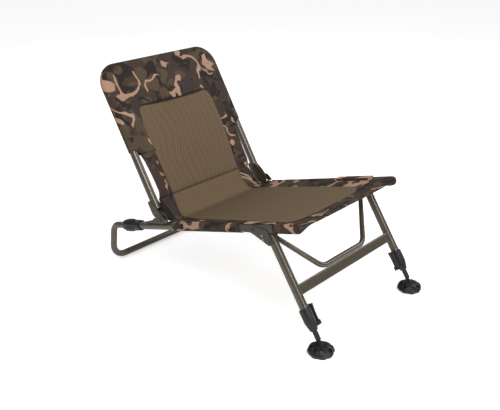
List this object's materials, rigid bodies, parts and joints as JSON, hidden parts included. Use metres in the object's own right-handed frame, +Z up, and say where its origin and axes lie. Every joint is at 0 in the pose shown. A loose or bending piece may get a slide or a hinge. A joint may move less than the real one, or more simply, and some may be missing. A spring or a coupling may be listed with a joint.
{
  "type": "carp fishing chair",
  "caption": "Low reclining fishing chair with padded mesh seat and back, camouflage headrest, folding front legs with mud feet and a telescoping rear bar.",
  "frame": {"origin": "middle of the bounding box on the ground", "axes": "+Z up, -Y is the way the sitter faces, +X on the sitter's left"},
  "size_m": [0.547, 0.9138, 0.6575],
  "materials": {
    "tube_paint": "semi-gloss",
    "sheet_paint": "satin",
    "steel": "satin",
    "black_plastic": "satin",
    "foot_rubber": "matte",
    "mesh_fabric": "matte"
  },
  "bodies": {
    "seat_frame": {"seat_rail_left": "tube_paint", "rail_plug_left": "black_plastic", "hinge_bracket_left": "sheet_paint", "ratchet_sector_left": "steel", "leg_saddle_left": "sheet_paint", "recline_rivet_left": "steel", "leg_rivet_left": "steel", "rail_ferrule_left": "black_plastic", "seat_rail_right": "tube_paint", "rail_plug_right": "black_plastic", "hinge_bracket_right": "sheet_paint", "ratchet_sector_right": "steel", "leg_saddle_right": "sheet_paint", "recline_rivet_right": "steel", "leg_rivet_right": "steel", "rail_ferrule_right": "black_plastic", "seat_cover": "mesh_fabric", "crease_strip": "mesh_fabric"},
    "backrest": {"back_hoop_tube": "tube_paint", "back_channel_left": "sheet_paint", "pawl_pin_left": "steel", "back_channel_right": "sheet_paint", "pawl_pin_right": "steel", "back_cover": "mesh_fabric"},
    "rear_bar": {"rear_bar_tube": "tube_paint", "rear_bar_bush_left": "black_plastic", "rear_bar_bush_right": "black_plastic"},
    "front_leg_frame": {"leg_tube_left": "tube_paint", "leg_plate_outer_left": "sheet_paint", "leg_plate_inner_left": "sheet_paint", "plate_spacer_pin_left": "steel", "leg_tube_rivet_left": "steel", "stand_rivet_left": "steel", "lock_housing_left": "black_plastic", "lever_pin_left": "steel", "leg_tube_right": "tube_paint", "leg_plate_outer_right": "sheet_paint", "leg_plate_inner_right": "sheet_paint", "plate_spacer_pin_right": "steel", "leg_tube_rivet_right": "steel", "stand_rivet_right": "steel", "lock_housing_right": "black_plastic", "lever_pin_right": "steel", "leg_crossbar": "tube_paint"},
    "low_stand": {"stand_tube": "tube_paint"},
    "ratchet_pawl_left": {"ratchet_pawl_left": "steel"},
    "twist_collar_left": {"twist_collar_left": "black_plastic"},
    "lock_lever_left": {"lock_lever_left": "black_plastic"},
    "lower_leg_left": {"lower_leg_left": "black_plastic", "lower_leg_bush_left": "black_plastic"},
    "foot_ball_left": {"foot_ball_left": "black_plastic"},
    "mud_foot_left": {"mud_foot_left": "foot_rubber"},
    "ratchet_pawl_right": {"ratchet_pawl_right": "steel"},
    "twist_collar_right": {"twist_collar_right": "black_plastic"},
    "lock_lever_right": {"lock_lever_right": "black_plastic"},
    "lower_leg_right": {"lower_leg_right": "black_plastic", "lower_leg_bush_right": "black_plastic"},
    "foot_ball_right": {"foot_ball_right": "black_plastic"},
    "mud_foot_right": {"mud_foot_right": "foot_rubber"}
  },
  "joints": [
    {"name": "recline", "type": "hinge", "parent": "seat_frame", "child": "backrest", "pos_m": [0, 0.18109, 0.22615], "axis": [1, 0, 0], "range_deg": [-38, 104], "deforming": ["crease_strip"]},
    {"name": "rear_bar_slide", "type": "slide", "parent": "seat_frame", "child": "rear_bar", "axis": [0, 0.9648, -0.2629], "range_m": [0, 0.12]},
    {"name": "front_leg_fold", "type": "hinge", "parent": "seat_frame", "child": "front_leg_frame", "pos_m": [0, -0.1898, 0.30283], "axis": [1, 0, 0], "range_deg": [0, 105]},
    {"name": "stand_fold", "type": "hinge", "parent": "front_leg_frame", "child": "low_stand", "pos_m": [0, -0.22296, 0.29598], "axis": [1, 0, 0], "range_deg": [-60, 0]},
    {"name": "pawl_left", "type": "hinge", "parent": "backrest", "child": "ratchet_pawl_left", "pos_m": [0.235, 0.20949, 0.24068], "axis": [1, 0, 0], "range_deg": [0, 20], "stiffness_Nm_per_rad": 0.2, "springref_deg": -8.59},
    {"name": "collar_twist_left", "type": "hinge", "parent": "seat_frame", "child": "twist_collar_left", "pos_m": [0.235, 0.34183, 0.158], "axis": [0, 0.9648, -0.2629], "range_deg": [0, 90]},
    {"name": "lever_left", "type": "hinge", "parent": "front_leg_frame", "child": "lock_lever_left", "pos_m": [0.21295, -0.38746, 0.07127], "axis": [0, -0.8368, 0.5476], "range_deg": [0, 12], "stiffness_Nm_per_rad": 0.3, "springref_deg": -8.59},
    {"name": "lower_leg_slide_left", "type": "slide", "parent": "front_leg_frame", "child": "lower_leg_left", "axis": [0, -0.5476, -0.8368], "range_m": [0, 0.1]},
    {"name": "foot_tilt_left", "type": "hinge", "parent": "lower_leg_left", "child": "foot_ball_left", "pos_m": [0.235, -0.41839, 0.024], "axis": [1, 0, 0], "range_deg": [-12, 12]},
    {"name": "foot_roll_left", "type": "hinge", "parent": "foot_ball_left", "child": "mud_foot_left", "pos_m": [0.235, -0.41839, 0.024], "axis": [0, 1, 0], "range_deg": [-12, 12]},
    {"name": "pawl_right", "type": "hinge", "parent": "backrest", "child": "ratchet_pawl_right", "pos_m": [-0.235, 0.20949, 0.24068], "axis": [1, 0, 0], "range_deg": [0, 20], "stiffness_Nm_per_rad": 0.2, "springref_deg": -8.59},
    {"name": "collar_twist_right", "type": "hinge", "parent": "seat_frame", "child": "twist_collar_right", "pos_m": [-0.235, 0.34183, 0.158], "axis": [0, 0.9648, -0.2629], "range_deg": [0, 90]},
    {"name": "lever_right", "type": "hinge", "parent": "front_leg_frame", "child": "lock_lever_right", "pos_m": [-0.21295, -0.38746, 0.07127], "axis": [0, 0.8368, -0.5476], "range_deg": [0, 12], "stiffness_Nm_per_rad": 0.3, "springref_deg": -8.59},
    {"name": "lower_leg_slide_right", "type": "slide", "parent": "front_leg_frame", "child": "lower_leg_right", "axis": [0, -0.5476, -0.8368], "range_m": [0, 0.1]},
    {"name": "foot_tilt_right", "type": "hinge", "parent": "lower_leg_right", "child": "foot_ball_right", "pos_m": [-0.235, -0.41839, 0.024], "axis": [1, 0, 0], "range_deg": [-12, 12]},
    {"name": "foot_roll_right", "type": "hinge", "parent": "foot_ball_right", "child": "mud_foot_right", "pos_m": [-0.235, -0.41839, 0.024], "axis": [0, 1, 0], "range_deg": [-12, 12]}
  ]
}
